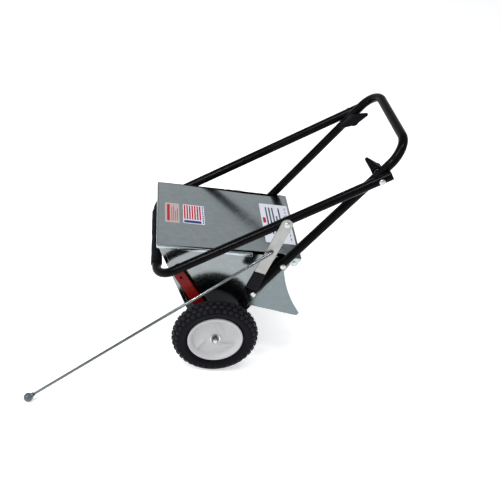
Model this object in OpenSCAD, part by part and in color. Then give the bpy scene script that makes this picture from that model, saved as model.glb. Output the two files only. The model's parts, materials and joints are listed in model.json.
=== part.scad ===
// Walk-behind drop spreader with a folding handle.
// +X points back to the operator, +Z up, and -Y is the operator's left.
// The origin is the centre of the outlet plate's underside, straight below the axle.

/* [Hopper] */
// Width over the two side plates
hopper_w = 319.6; // [300:0.1:340]
// Length of the hopper at its rim, front to rear
rim_l = 395; // [360:1:420]
// Length of the hopper at its outlet, front to rear
outlet_l = 96; // [92:1:110]
// Height from the outlet to the rim
hopper_h = 297.5; // [285:0.5:297.5]
// Thickness of the hopper sheet
sheet_t = 1.5; // [1:0.1:1.5]
// Height of the axle above the outlet plate's underside
axle_z = 35; // [34:1:38]

/* [Lid] */
// Width of the lid over its side lips
lid_w = 334; // [332:1:336]
// Reach of the lid in front of the axle
lid_front = 199.5; // [199.5:0.5:203]
// Reach of the lid behind the axle
lid_rear = 211; // [209:0.5:213]
// Height of the lid's top face above the outlet
lid_top = 300.3; // [300.3:0.1:302]
// Depth of the lid's side and front lips
lip_h = 10; // [6:0.5:12]
// Depth of the notches that clear the lower handle
notch_d = 13; // [11:0.5:16]
// Front end of the notches, behind the axle
notch_front = 70; // [50:1:70]
// Rear end of the notches, behind the axle
notch_rear = 186; // [184:1:188]

/* [Wheels] */
// Diameter of a wheel over its tyre
wheel_d = 254; // [250:1:256]
// Width of a tyre
tyre_w = 51; // [46:1:52]
// Diameter of a wheel's hub
hub_d = 162; // [150:1:168]
// Distance between the centre planes of the two tyres
track_w = 447.6; // [444:0.2:452]
// Diameter of the axle
axle_d = 16; // [12:0.5:16]

/* [Handles] */
// Diameter of the handle tube
tube_d = 25.4; // [22:0.2:25.4]
// Wall thickness of the handle tube
tube_wall = 1.6; // [1.2:0.1:2.5]
// Slope of the lower handle above the level
lower_slope = 59.2; // [58:0.1:60]
// Slope of the folded upper handle above the level
upper_slope = 35.9; // [34:0.1:37]
// Reach of the upper handle from its fold bolts to its grip
upper_reach = 665; // [655:1:680]
// Reach of the lower handle above the fold bolts
lower_reach = 104.4; // [100:0.2:115]
// Diameter of the foam grip on the upper handle's cross piece
foam_d = 33; // [30:0.5:40]
// Length of the foam grip
foam_l = 270; // [120:2:284]
// Radius of the upper handle's bends
upper_bend_r = 55; // [45:1:70]
// Radius of the lower handle's bends
lower_bend_r = 65; // [60:1:90]

/* [Controls] */
// Width of the flat bar of both levers
bar_w = 32; // [26:1:32]
// Length of the control lever below its pivot
lever_l = 232; // [210:1:240]
// Length of the lever's vinyl grip
grip_l = 60; // [40:1:80]
// Diameter of the control rod
rod_d = 8; // [6:0.5:8]
// Diameter of the ball on the control rod
ball_d = 25.4; // [20:0.2:30]
// Length of the red shut-off lever above the axle
shutoff_l = 232; // [215:1:240]
// Travel of the shutter between shut and open
shutter_travel = 14.4; // [12:0.1:14.4]

/* [Hidden] */

$fn = 64;
BIG = 2000;
GALVANISED = "#b4bcc0";
ZINC = "#b9b8b0";
BLACK = "#17161a";
RUBBER = "#201f24";
NYLON = "#2b2b2e";
HUB_WHITE = "#dcdcd8";
RED = "#8c0f0a";

plate_y = hopper_w / 2;                    // outer face of a side plate
inner_y = plate_y - sheet_t;               // inner face of a side plate
skin_x = sheet_t / sin(63);                // sheet thickness measured level across a sloped wall
ground_z = axle_z - wheel_d / 2;
wheel_y = track_w / 2;                     // centre plane of a tyre
pivot_x = 348.2;                           // fold bolts
pivot_z = 564.2 + axle_z;
lower_y = plate_y + tube_d / 2 + 0.1;      // centre of a lower handle arm
upper_y = lower_y + tube_d + 0.6;          // centre of an upper handle arm
lower_end = -513;                          // lower end of the lower handle, along its arm
lower_bolts = [-501, -373];                // bolts to the hopper, along the lower handle's arm
upper_end = -27;                           // free end of the upper handle, past the fold bolts
bolt_r = 4;
bolt_clear = 0.06;                         // radial clearance of a turning piece on its bolt
lever_u = 270.4;                           // lever bolt, along the upper handle's arm
lever_t = 4;
lever_lean = 13.7;                         // lean of the control lever from the plumb line
rod_hole = 92.6;                           // rod hole below the lever's pivot
hinge_x = 192;                             // lid hinge
hinge_z = 282;
ear_r = 12;
slot_l = 56;                               // outlet slots
slot_w = 12;
slot_ys = [-112.5, -37.5, 37.5, 112.5];
bearing_r = 14;
boss_end = plate_y + 20;                   // outer end of a bearing's boss
shutoff_y = plate_y + 12.7;                // inner face of the shut-off lever
shutoff_t = 5;
shutoff_angle = 125.7;                     // direction of the shut-off lever, from +X towards +Z
shutoff_arm = 46;                          // shutter pin below the axle, along the lever
hub_in = 188.3;                            // inner end of a hub's boss
hub_out = 236;                             // outer end of a hub's boss
boss_r = 18;                               // boss of a hub
stud_r = 6;
axle_end = 252;
pin_y = 196;                               // drive pin
shutter_z = 2.3;
shutter_t = 2;

lever_x = pivot_x - lever_u * cos(upper_slope);
lever_z = pivot_z - lever_u * sin(upper_slope);
lever_y = upper_y + tube_d / 2 + 1.6;      // inner face of the control lever
hook_y = -(lever_y + lever_t + rod_d / 2 + 0.6);
hook = [lever_x - rod_hole * sin(lever_lean), hook_y, lever_z - rod_hole * cos(lever_lean)];
ball = [-501, -395, ground_z + ball_d / 2];
shutoff_pin_x = shutoff_arm * cos(shutoff_angle + 180);
shutoff_pin_z = axle_z + shutoff_arm * sin(shutoff_angle + 180);

// Distance of a sloped hopper wall's outer face from the centre, at height z
function wall_x(z) = outlet_l / 2 + (rim_l - outlet_l) / 2 * z / hopper_h;

// Draws an XZ outline as a plate from y to y + t
module plate(y, t) {
    translate([0, y + t, 0]) rotate([90, 0, 0]) linear_extrude(t) children();
}

// A round bar along Y
module bar_y(x, z, y0, y1, r) {
    translate([x, y0, z]) rotate([-90, 0, 0]) cylinder(r = r, h = y1 - y0);
}

// A hexagon along Y, measured across its flats
module hex_y(x, z, y0, y1, flats) {
    translate([x, y0, z]) rotate([-90, 0, 0]) cylinder(r = flats / sqrt(3), h = y1 - y0, $fn = 6);
}

// A carriage bolt along Y with its head's underside at y, pointing to +Y
module carriage_bolt(x, z, y, shank) {
    bar_y(x, z, y, y + shank, bolt_r);
    intersection() {
        translate([x, y + 6.2, z]) sphere(r = 10.6);
        bar_y(x, z, y - 5, y, 8.6);
    }
}

module mirror_left_right() {
    children();
    mirror([0, 1, 0]) children();
}

// Frame of a handle: X runs along its arms from the fold bolts, at an angle above +X
module on_handle(angle) {
    translate([pivot_x, 0, pivot_z]) rotate([0, -angle, 0]) children();
}

// A handle's U-shaped round bar of radius r, with its arms at +-y and its cross piece at reach
module handle_bar(y, from, reach, bend_r, r) {
    for (s = [0, 1]) mirror([0, s, 0]) {
        translate([from, y, 0]) rotate([0, 90, 0]) cylinder(r = r, h = reach - bend_r - from);
        translate([reach - bend_r, y - bend_r, 0])
            rotate_extrude(angle = 90) translate([bend_r, 0]) circle(r = r);
    }
    translate([reach, -(y - bend_r), 0]) rotate([-90, 0, 0]) cylinder(r = r, h = 2 * (y - bend_r));
}

module handle_tube(y, from, reach, bend_r) {
    difference() {
        handle_bar(y, from, reach, bend_r, tube_d / 2);
        handle_bar(y, from, reach, bend_r, tube_d / 2 - tube_wall);
    }
}

// A plastic plug in the end of a handle tube, at the handle frame's from and side y
module tube_plug(y, from) {
    translate([from, y, 0]) rotate([0, -90, 0]) {
        translate([0, 0, -7]) cylinder(r = tube_d / 2 - tube_wall - 0.01, h = 7);
        cylinder(r = tube_d / 2, h = 2);
        translate([0, 0, 2]) cylinder(r1 = tube_d / 2, r2 = tube_d / 2 - 2.5, h = 1.6);
    }
}

// Hopper

// A sloped wall of the hopper, from its foot to height top, drawn at the front
module sloped_wall(top, y) {
    plate(-y, 2 * y) polygon([
        [-wall_x(2), 2], [-wall_x(2) + skin_x, 2],
        [-wall_x(top) + skin_x, top], [-wall_x(top), top]]);
}

// A strip along a sloped wall's outer edge, on the outside of a side plate
module wall_flange(z0, z1, width) {
    polygon([
        [-wall_x(z0), z0], [-wall_x(z0) + width, z0],
        [-wall_x(z1) + width, z1], [-wall_x(z1), z1]]);
}

module front_panel() {
    color(GALVANISED) {
        sloped_wall(hopper_h, plate_y + sheet_t);
        for (y = [-plate_y - sheet_t, plate_y]) plate(y, sheet_t) wall_flange(2, hopper_h - 6, 11);
    }
}

module rear_panel() {
    color(GALVANISED) mirror([1, 0, 0]) sloped_wall(hopper_h - 1.5, inner_y);
}

module side_outline() {
    polygon([
        [-wall_x(2) + skin_x, 2], [wall_x(2), 2],
        [wall_x(hopper_h), hopper_h], [-wall_x(hopper_h) + skin_x, hopper_h]]);
    translate([hinge_x, hinge_z]) circle(r = ear_r);
}

module side_plate_holes() {
    bar_y(0, axle_z, -BIG, BIG, bearing_r);
    bar_y(hinge_x, hinge_z, -BIG, BIG, 3);
    on_handle(lower_slope) for (u = lower_bolts) bar_y(u, 0, -BIG, BIG, bolt_r + 0.02);
}

module left_side_plate() {
    color(GALVANISED) difference() {
        plate(-plate_y, sheet_t) side_outline();
        side_plate_holes();
        translate([-16, -BIG / 2, 1]) cube([62, BIG / 2, 4.5]);
    }
}

module right_side_plate() {
    color(GALVANISED) difference() {
        plate(inner_y, sheet_t) side_outline();
        side_plate_holes();
    }
}

// Row of outlet slots, moved by dx
module outlet_slots(dx) {
    for (y = slot_ys) translate([dx - slot_w / 2, y - slot_l / 2, -5]) cube([slot_w, slot_l, 15]);
}

module bottom_plate() {
    color(GALVANISED) difference() {
        translate([-52, -plate_y - sheet_t, 0]) cube([104, 2 * (plate_y + sheet_t), 2]);
        outlet_slots(0);
    }
}

// Side skid behind the hopper: the spreader tips back onto the two of them when it is parked
module heel_outline() {
    tip = [241.5, 91];
    tip_r = 9;
    low_a = -99.6;
    high_a = 33.4;
    low = [wall_x(107), 107];
    high = [wall_x(246), 246];
    edge = tip + tip_r * [cos(high_a), sin(high_a)];
    arc_r = 400;
    chord = high - edge;
    normal = [chord.y, -chord.x] / norm(chord);
    arc_c = edge + chord / 2 + normal * sqrt(arc_r * arc_r - chord * chord / 4);
    from_a = atan2(edge.y - arc_c.y, edge.x - arc_c.x);
    turn = 2 * asin(norm(chord) / 2 / arc_r);
    polygon(concat(
        [low],
        [for (i = [0:12]) let (a = low_a + (high_a - low_a) * i / 12) tip + tip_r * [cos(a), sin(a)]],
        [for (i = [1:15]) let (a = from_a - turn * i / 16) arc_c + arc_r * [cos(a), sin(a)]],
        [high]));
}

// Seam along the rear wall's edge; it laps the side plate and the skid from outside
module heel_seam() {
    z0 = 107;
    z1 = hinge_z - ear_r - 1;
    polygon([
        [wall_x(z0) - 13, z0], [wall_x(z0), z0], [wall_x(z0 + 6) + 3, z0 + 6],
        [wall_x(238) + 3, 238], [wall_x(244), 244], [wall_x(z1), z1], [wall_x(z1) - 13, z1]]);
}

module left_heel_plate() {
    color(GALVANISED) {
        plate(-plate_y, sheet_t) heel_outline();
        plate(-plate_y - sheet_t, sheet_t) heel_seam();
    }
}

module right_heel_plate() {
    color(GALVANISED) {
        plate(inner_y, sheet_t) heel_outline();
        plate(plate_y, sheet_t) heel_seam();
    }
}

// Flanged nylon bearings; the left one's boss also carries the shut-off lever
module axle_bearings() {
    color(NYLON) mirror_left_right() difference() {
        union() {
            bar_y(0, axle_z, -boss_end, -inner_y + 3, bearing_r);
            plate(-plate_y - 4, 4) translate([0, axle_z]) {
                circle(r = 30);
            }
        }
        bar_y(0, axle_z, -BIG, BIG, axle_d / 2 + 0.05);
        for (a = [45:90:315])
            bar_y(22 * cos(a), axle_z + 22 * sin(a), -BIG, BIG, 2.5);
    }
}

module bearing_bolts() {
    color(ZINC) mirror_left_right() for (a = [45:90:315]) {
        bar_y(22 * cos(a), axle_z + 22 * sin(a), -plate_y - 4, -plate_y, 2.5);
        hex_y(22 * cos(a), axle_z + 22 * sin(a), -plate_y - 7, -plate_y - 4, 8);
    }
}

module lever_retainer() {
    color(ZINC) difference() {
        bar_y(0, axle_z, -boss_end, -shutoff_y - shutoff_t - 0.4, bearing_r + 4);
        bar_y(0, axle_z, -BIG, BIG, bearing_r);
    }
}

module shutter_guides() {
    color(GALVANISED) mirror_left_right() difference() {
        translate([-46, -inner_y, 2]) cube([92, 12, 5.6]);
        translate([-BIG / 2, -151, 1]) cube([BIG, 40, 3.6]);
        translate([-16, -inner_y - 1, 1]) cube([62, 20, 3.6]);
    }
}

module lid_hinge_pins() {
    color(ZINC) mirror_left_right() {
        bar_y(hinge_x, hinge_z, -lid_w / 2 - 0.3, -inner_y, 3);
        bar_y(hinge_x, hinge_z, -lid_w / 2 - 2.3, -lid_w / 2 - 0.3, 5);
        bar_y(hinge_x, hinge_z, -lid_w / 2 + 1.9, -plate_y, 5.5);
    }
}

module lid_outline() {
    difference() {
        translate([-lid_front, -lid_w / 2]) square([lid_front + lid_rear, lid_w]);
        for (s = [0, 1]) mirror([0, s])
            translate([notch_front, lid_w / 2 - notch_d])
                square([notch_rear - notch_front, notch_d + 1]);
    }
}

module lid() {
    lip_z = lid_top - lip_h;
    color(GALVANISED) {
        translate([0, 0, lid_top - sheet_t]) linear_extrude(sheet_t) lid_outline();
        translate([-lid_front, -lid_w / 2, lip_z]) cube([sheet_t, lid_w, lip_h]);
        translate([lid_rear - sheet_t, -lid_w / 2, lip_z]) cube([sheet_t, lid_w, lip_h]);
        for (s = [0, 1]) mirror([0, s, 0]) {
            translate([-lid_front, lid_w / 2 - sheet_t, lip_z])
                cube([lid_front + notch_front, sheet_t, lip_h]);
            difference() {
                plate(lid_w / 2 - sheet_t, sheet_t) {
                    translate([hinge_x, hinge_z]) circle(r = ear_r);
                    polygon([
                        [notch_rear, lid_top], [notch_rear, hinge_z + 10], [hinge_x, hinge_z],
                        [hinge_x + 8, hinge_z - 8], [lid_rear, lip_z], [lid_rear, lid_top]]);
                }
                bar_y(hinge_x, hinge_z, 0, BIG, 3 + bolt_clear);
            }
        }
    }
}

// Handles

module lower_handle() {
    color(BLACK) on_handle(lower_slope) difference() {
        handle_tube(lower_y, lower_end, lower_reach, lower_bend_r);
        for (u = concat(lower_bolts, [0])) bar_y(u, 0, -BIG, BIG, bolt_r + 0.02);
    }
}

module lower_handle_plugs() {
    color(BLACK) on_handle(lower_slope) for (s = [-1, 1]) tube_plug(s * lower_y, lower_end);
}

module lower_handle_bolts() {
    head_y = lower_y + tube_d / 2;
    color(ZINC) mirror_left_right() on_handle(lower_slope)
        for (u = lower_bolts) carriage_bolt(u, 0, -head_y, head_y - inner_y + 9);
}

module lower_handle_nuts() {
    color(ZINC) mirror_left_right() on_handle(lower_slope) for (u = lower_bolts) difference() {
        hex_y(u, 0, -inner_y, -inner_y + 6.5, 13);
        bar_y(u, 0, -BIG, 0, bolt_r);
    }
}

module fold_bolts() {
    head_y = upper_y + tube_d / 2 + 0.3;
    color(ZINC) mirror_left_right() carriage_bolt(pivot_x, pivot_z, -head_y, head_y - plate_y + 22);
}

module fold_washers() {
    color(ZINC) mirror_left_right() difference() {
        bar_y(pivot_x, pivot_z, -plate_y - 0.1, -plate_y + 1.5, 9);
        bar_y(pivot_x, pivot_z, -BIG, 0, bolt_r);
    }
}

module upper_handle() {
    color(BLACK) on_handle(180 + upper_slope) difference() {
        handle_tube(upper_y, upper_end, upper_reach, upper_bend_r);
        bar_y(0, 0, -BIG, BIG, bolt_r + bolt_clear);
        bar_y(lever_u, 0, -BIG, 0, bolt_r);
    }
}

module upper_handle_plugs() {
    color(BLACK) on_handle(180 + upper_slope) for (s = [-1, 1]) tube_plug(s * upper_y, upper_end);
}

// Foam sleeve with rounded-off ends on the cross piece
module handle_grip() {
    r = foam_d / 2;
    color(BLACK) on_handle(180 + upper_slope) translate([upper_reach, 0, 0]) rotate([90, 0, 0])
        rotate_extrude() polygon([
            [tube_d / 2, -foam_l / 2], [r - 2, -foam_l / 2], [r, 2 - foam_l / 2],
            [r, foam_l / 2 - 2], [r - 2, foam_l / 2], [tube_d / 2, foam_l / 2]]);
}

module lever_bolt() {
    head_y = lever_y + lever_t + 0.3;
    color(ZINC) carriage_bolt(lever_x, lever_z, -head_y, head_y - upper_y + tube_d / 2 + 8);
}

module lever_washer() {
    color(ZINC) difference() {
        bar_y(lever_x, lever_z, -upper_y - tube_d / 2 - 1.3, -upper_y - tube_d / 2, 9);
        bar_y(lever_x, lever_z, -BIG, 0, bolt_r);
    }
}

module lever_nut() {
    inner = upper_y - tube_d / 2;
    color(ZINC) difference() {
        hex_y(lever_x, lever_z, -inner, -inner + 6.5, 13);
        bar_y(lever_x, lever_z, -BIG, 0, bolt_r);
    }
}

// Knob with two tapered wings at an angle, on the inner end of a fold bolt
module wing_knob(angle) {
    translate([pivot_x, -plate_y + 1.8, pivot_z]) rotate([-90, angle, 0]) difference() {
        union() {
            cylinder(r = 15, h = 24);
            for (a = [0, 180]) rotate([0, 0, a]) hull() {
                translate([4, 0, 2]) cylinder(r = 13, h = 20, $fn = 32);
                translate([41, 0, 17]) sphere(r = 5.5, $fn = 24);
            }
        }
        translate([0, 0, -1]) cylinder(r = 7, h = 15);
        cylinder(r = bolt_r + 1, h = 22);
    }
}

// Threaded brass insert moulded into a wing knob
module knob_insert() {
    difference() {
        bar_y(pivot_x, pivot_z, -plate_y + 1.8, -plate_y + 15.8, 7);
        bar_y(pivot_x, pivot_z, -BIG, 0, bolt_r + 0.05);
    }
}

module left_wing_knob() {
    color(BLACK) wing_knob(36);
}

module right_wing_knob() {
    color(BLACK) mirror([0, 1, 0]) wing_knob(-37);
}

module left_knob_insert() {
    color("goldenrod") knob_insert();
}

module right_knob_insert() {
    color("goldenrod") mirror([0, 1, 0]) knob_insert();
}

// Controls

// Frame of the control lever: its pivot is the origin and the bar hangs along -Z
module on_lever() {
    translate([lever_x, 0, lever_z]) rotate([0, lever_lean, 0]) children();
}

module control_lever() {
    color(ZINC) on_lever() difference() {
        plate(-lever_y - lever_t, lever_t) {
            circle(r = bar_w / 2);
            translate([-bar_w / 2, -lever_l + 4]) square([bar_w, lever_l - 4]);
        }
        bar_y(0, 0, -BIG, 0, bolt_r + bolt_clear);
        bar_y(0, -rod_hole, -BIG, 0, rod_d / 2 + bolt_clear);
    }
}

module lever_grip() {
    grip_w = bar_w + 4;
    grip_t = lever_t + 4;
    color(BLACK) on_lever() difference() {
        translate([-grip_w / 2, -lever_y - lever_t / 2 - grip_t / 2, -lever_l])
            cube([grip_w, grip_t, grip_l]);
        translate([-bar_w / 2, -lever_y - lever_t, -lever_l + 4]) cube([bar_w, lever_t, grip_l]);
    }
}

// A round bar between two points
module bar_between(a, b, r) {
    d = b - a;
    translate(a) rotate([0, acos(d.z / norm(d)), atan2(d.y, d.x)]) cylinder(r = r, h = norm(d));
}

module control_rod() {
    color(ZINC) {
        bar_y(hook.x, hook.z, hook.y, -lever_y + 6, rod_d / 2);
        translate(hook) sphere(r = rod_d / 2);
        bar_between(hook, ball + (hook - ball) / norm(hook - ball) * (ball_d / 2 - 2), rod_d / 2);
    }
}

module rod_ball() {
    dir = (hook - ball) / norm(hook - ball);
    color("#54606a") difference() {
        union() {
            translate(ball) sphere(r = ball_d / 2);
            bar_between(ball, ball + dir * (ball_d / 2 + 5), rod_d / 2 + 2.5);
        }
        bar_between(ball + dir * (ball_d / 2 - 2), hook, rod_d / 2);
    }
}

module rod_clip() {
    color(ZINC) difference() {
        bar_y(hook.x, hook.z, -lever_y + 0.6, -lever_y + 2.1, 8);
        bar_y(hook.x, hook.z, -BIG, 0, rod_d / 2);
    }
}

// Running gear

module axle() {
    color(ZINC) difference() {
        union() {
            bar_y(0, axle_z, -hub_out, hub_out, axle_d / 2);
            bar_y(0, axle_z, -axle_end, axle_end, stud_r);
        }
        translate([0, -pin_y, axle_z - 20]) cylinder(r = 3, h = 40);
    }
}

// Sleeve with fingers that stir the load above the outlets
module agitator() {
    color(ZINC) difference() {
        union() {
            bar_y(0, axle_z, -145, 145, 11);
            for (i = [0:11])
                translate([0, -126.5 + 23 * i, axle_z]) rotate([0, 60 * i, 0]) cylinder(r = 3, h = 27);
        }
        bar_y(0, axle_z, -BIG, BIG, axle_d / 2);
    }
}

module drive_pin() {
    color(ZINC) translate([0, -pin_y, axle_z - boss_r]) cylinder(r = 3, h = 2 * boss_r);
}

module axle_spacers() {
    color(ZINC) mirror_left_right() difference() {
        bar_y(0, axle_z, -hub_in + 0.3, -boss_end - 0.3, 11);
        bar_y(0, axle_z, -BIG, 0, axle_d / 2);
    }
}

module axle_washers() {
    color(ZINC) mirror_left_right() difference() {
        bar_y(0, axle_z, -hub_out - 2.3, -hub_out - 0.3, 16);
        bar_y(0, axle_z, -BIG, 0, stud_r);
    }
}

module axle_nuts() {
    color(ZINC) mirror_left_right() difference() {
        hex_y(0, axle_z, -hub_out - 11.3, -hub_out - 2.3, 19);
        bar_y(0, axle_z, -BIG, 0, stud_r);
    }
}

// Moulded hub about the local Z axis, with its outer side towards +Z and z = 0 at the tyre's centre
module hub_body(bore) {
    rim_r = hub_d / 2;
    in_z = hub_in - wheel_y;
    out_z = hub_out - wheel_y;
    rotate_extrude() difference() {
        union() {
            translate([bore, in_z]) square([boss_r - bore, out_z - in_z]);
            translate([bore, 6]) square([rim_r - 2 - bore, 4]);
            translate([rim_r - 8, -20]) square([8, 41.3]);
        }
        translate([rim_r, 0]) circle(r = 4);
    }
}

module tyre_body() {
    r = tyre_w / 2;
    rotate_extrude() {
        translate([hub_d / 2, 0]) circle(r = 4);
        difference() {
            union() {
                translate([wheel_d / 2 - r, 0]) circle(r = r);
                translate([hub_d / 2, -19]) square([wheel_d / 2 - r - hub_d / 2, 38]);
            }
            translate([0, -r]) square([hub_d / 2, 2 * r]);
        }
    }
}

module at_left_wheel() {
    translate([0, -wheel_y, axle_z]) rotate([90, 0, 0]) children();
}

module left_hub() {
    color(HUB_WHITE) difference() {
        at_left_wheel() hub_body(axle_d / 2);
        translate([0, -pin_y, axle_z - 20]) cylinder(r = 3, h = 40);
    }
}

module left_tyre() {
    color(RUBBER) at_left_wheel() tyre_body();
}

module right_hub() {
    color(HUB_WHITE) mirror([0, 1, 0]) at_left_wheel() hub_body(axle_d / 2 + 0.06);
}

module right_tyre() {
    color(RUBBER) mirror([0, 1, 0]) at_left_wheel() tyre_body();
}

// Shut-off

// Frame of the shut-off lever: X runs from the axle to its upper end
module on_shutoff() {
    translate([0, 0, axle_z]) rotate([0, -shutoff_angle, 0]) children();
}

module shutoff_lever() {
    r = bar_w / 2 - 1;
    color(RED) on_shutoff() difference() {
        plate(-shutoff_y - shutoff_t, shutoff_t) {
            translate([-shutoff_arm, -r]) square([shutoff_l - r + shutoff_arm, 2 * r]);
            translate([-shutoff_arm, 0]) circle(r = r);
            translate([shutoff_l - r, 0]) circle(r = r);
            circle(r = bearing_r + 9);
        }
        bar_y(0, 0, -BIG, 0, bearing_r + 0.06);
        bar_y(shutoff_l - r - 11, 0, -BIG, 0, 4.2);
        bar_y(-shutoff_arm, 0, -BIG, 0, 3);
    }
}

module shutoff_pin() {
    color(ZINC) {
        bar_y(shutoff_pin_x, shutoff_pin_z, -shutoff_y - shutoff_t, -shutoff_y + 4.5, 3);
        bar_y(shutoff_pin_x, shutoff_pin_z, -shutoff_y - shutoff_t - 2, -shutoff_y - shutoff_t, 5);
    }
}

module shutter_plate() {
    color(GALVANISED) difference() {
        union() {
            translate([-28, -150.5, shutter_z]) cube([74, 301, shutter_t]);
            translate([shutoff_pin_x - 15, -shutoff_y + 1.1, shutter_z]) cube([30, 40, shutter_t]);
        }
        outlet_slots(shutter_travel);
    }
}

// Plate under the shutter's tongue, with an upright slot for the lever's pin
module shutter_yoke() {
    slot_r = 3.6;
    color(GALVANISED) difference() {
        translate([shutoff_pin_x - 13, -shutoff_y + 1.1, -20]) cube([26, 2, 20 + shutter_z]);
        bar_y(shutoff_pin_x, -2, -BIG, 0, slot_r);
        bar_y(shutoff_pin_x, -11.5, -BIG, 0, slot_r);
        translate([shutoff_pin_x - slot_r, -BIG, -11.5]) cube([2 * slot_r, BIG, 9.5]);
    }
}

front_panel();
rear_panel();
left_side_plate();
right_side_plate();
bottom_plate();
left_heel_plate();
right_heel_plate();
axle_bearings();
bearing_bolts();
lever_retainer();
shutter_guides();
lid_hinge_pins();
lower_handle();
lower_handle_plugs();
lower_handle_bolts();
lower_handle_nuts();
fold_bolts();
fold_washers();
lid();
upper_handle();
upper_handle_plugs();
handle_grip();
lever_bolt();
lever_washer();
lever_nut();
control_lever();
lever_grip();
control_rod();
rod_ball();
rod_clip();
left_wing_knob();
right_wing_knob();
left_knob_insert();
right_knob_insert();
axle();
agitator();
drive_pin();
axle_spacers();
axle_washers();
axle_nuts();
left_hub();
left_tyre();
right_hub();
right_tyre();
shutoff_lever();
shutoff_pin();
shutter_plate();
shutter_yoke();
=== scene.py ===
import json
import math

import bmesh
import bpy
from mathutils import Matrix, Vector

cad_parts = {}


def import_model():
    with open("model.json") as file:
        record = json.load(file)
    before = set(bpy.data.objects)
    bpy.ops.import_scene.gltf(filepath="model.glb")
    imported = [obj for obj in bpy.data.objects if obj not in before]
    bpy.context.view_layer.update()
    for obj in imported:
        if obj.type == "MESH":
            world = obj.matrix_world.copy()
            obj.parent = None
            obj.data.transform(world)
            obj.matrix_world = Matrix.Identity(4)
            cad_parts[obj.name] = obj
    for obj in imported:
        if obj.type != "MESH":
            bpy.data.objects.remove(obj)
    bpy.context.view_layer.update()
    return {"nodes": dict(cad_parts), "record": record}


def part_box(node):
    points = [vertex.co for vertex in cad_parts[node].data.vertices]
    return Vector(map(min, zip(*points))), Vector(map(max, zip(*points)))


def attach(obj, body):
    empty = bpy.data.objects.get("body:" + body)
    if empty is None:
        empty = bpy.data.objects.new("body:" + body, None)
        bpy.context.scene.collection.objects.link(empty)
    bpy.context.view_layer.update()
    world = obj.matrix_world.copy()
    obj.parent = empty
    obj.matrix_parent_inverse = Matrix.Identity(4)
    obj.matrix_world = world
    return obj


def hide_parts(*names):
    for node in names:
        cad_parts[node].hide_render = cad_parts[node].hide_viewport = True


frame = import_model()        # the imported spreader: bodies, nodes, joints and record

MM = 0.001
NODE_BODY = {n: b for b, nodes in frame["record"]["behaviour"]["bodies"].items() for n in nodes}


# ---------------------------------------------------------------- places read from the frame

def joint_place(name):
    joint = next(j for j in frame["record"]["behaviour"]["joints"] if j["name"] == name)
    return Vector(joint["pos_m"])


AXLE = joint_place("drive_axle_spin")
FOLD = joint_place("handle_fold")
LEVER = joint_place("control_lever_pivot")
ROD_HINGE = joint_place("control_rod_swing")
TYRE_LOW, TYRE_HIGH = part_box("left_tyre")
TYRE_R = (TYRE_HIGH.x - TYRE_LOW.x) / 2
TYRE_HALF = (TYRE_HIGH.y - TYRE_LOW.y) / 2
WHEEL_Y = -(TYRE_LOW.y + TYRE_HIGH.y) / 2
LID_LOW, LID_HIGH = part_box("lid")
GROUND = TYRE_LOW.z
SHEET = 1.5 * MM            # thickness of the hopper's and the lid's sheet
TUBE_R = 12.7 * MM          # outside of the handle tubes
HUB_END = 236 * MM          # outer end of a hub's boss, measured from the middle plane
BOLT_R = 4 * MM
BOLT_HEAD_R = 8.6 * MM
BOLT_HEAD_H = 4.4 * MM
BOLT_NUT_FLATS = 13 * MM
WELD = 3e-6                 # vertices closer than this are joined
SHARP = math.radians(32.0)  # edges sharper than this are rounded
ALONG_X, ALONG_Y, ALONG_Z = Vector((1, 0, 0)), Vector((0, 1, 0)), Vector((0, 0, 1))


# ---------------------------------------------------------------- node materials

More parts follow.
